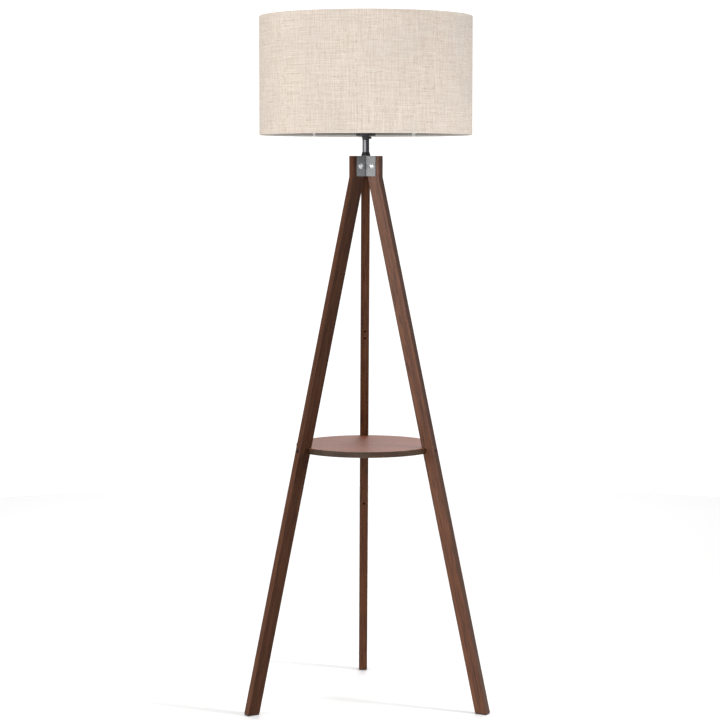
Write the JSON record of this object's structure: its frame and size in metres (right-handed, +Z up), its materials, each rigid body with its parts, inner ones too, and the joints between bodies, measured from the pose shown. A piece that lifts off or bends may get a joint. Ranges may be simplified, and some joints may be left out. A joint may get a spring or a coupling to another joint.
{
  "type": "tripod floor lamp",
  "caption": "Floor lamp on a splayed timber tripod with a round shelf, a steel hub and short stem, and a linen drum shade over a screw-in bulb.",
  "frame": {"origin": "on the floor, on the lamp's upright axis, midway between the three feet", "axes": "+Z up along the stem and shade, +Y towards the rear leg, -Y towards the front between the two front legs"},
  "size_m": [0.5176, 0.5186, 1.46],
  "materials": {
    "walnut": "dark walnut stain, satin",
    "walnut_board": "walnut stain, satin, smooth top",
    "felt": "matt felt",
    "black_steel": "black oxide, satin",
    "hub_steel": "fine-grained gunmetal, satin",
    "black_nickel": "black nickel, polished",
    "bright_zinc": "bright zinc plate",
    "black_plastic": "smooth moulded, semi-gloss",
    "porcelain": "glazed",
    "brass": "plain",
    "linen": "natural slubbed linen weave",
    "lining": "pale grey backing, matt",
    "white_wire": "white powder coat",
    "white_plastic": "moulded, satin",
    "aluminium": "plain sheet",
    "opal": "opal diffuser, satin"
  },
  "bodies": {
    "stand": {"leg_left": "walnut", "leg_right": "walnut", "leg_rear": "walnut", "foot_pad_left": "felt", "foot_pad_right": "felt", "foot_pad_rear": "felt", "shelf": "walnut_board", "shelf_screws": "black_steel", "hub_bracket": "hub_steel", "hub_bolts": "bright_zinc", "hub_sleeve_nuts": "bright_zinc", "stem_nipple": "bright_zinc", "nipple_washer": "bright_zinc", "nipple_nut": "bright_zinc", "cord_bush": "black_plastic", "stem_collar": "black_steel", "stem_tube": "black_nickel", "holder_neck": "black_steel", "neck_screw": "black_steel", "holder_cap": "black_plastic", "holder_body": "black_plastic", "socket_insulator": "porcelain", "socket_shell": "brass", "socket_contact": "brass", "socket_terminals": "brass", "terminal_screws": "bright_zinc"},
    "shade": {"shade_cover": "linen", "shade_lining": "lining", "shade_top_ring": "white_wire", "shade_bottom_ring": "white_wire", "shade_spider": "white_wire", "shade_clips_bottom": "white_plastic", "shade_clips_top": "white_plastic"},
    "ring": {"retaining_ring": "black_plastic"},
    "bulb": {"bulb_cap": "bright_zinc", "bulb_insulator": "black_plastic", "bulb_tip": "bright_zinc", "bulb_housing": "white_plastic", "bulb_led_board": "aluminium", "bulb_globe": "opal"}
  },
  "joints": [
    {"name": "shade_turn", "type": "hinge", "parent": "stand", "child": "shade", "pos_m": [0, 0, 1.246], "axis": [0, 0, 1], "continuous": true},
    {"name": "ring_unscrew", "type": "slide", "parent": "stand", "child": "ring", "axis": [0, 0, 1], "range_m": [0, 0.013]},
    {"name": "bulb_unscrew", "type": "slide", "parent": "stand", "child": "bulb", "axis": [0, 0, 1], "range_m": [0, 0.03]}
  ]
}
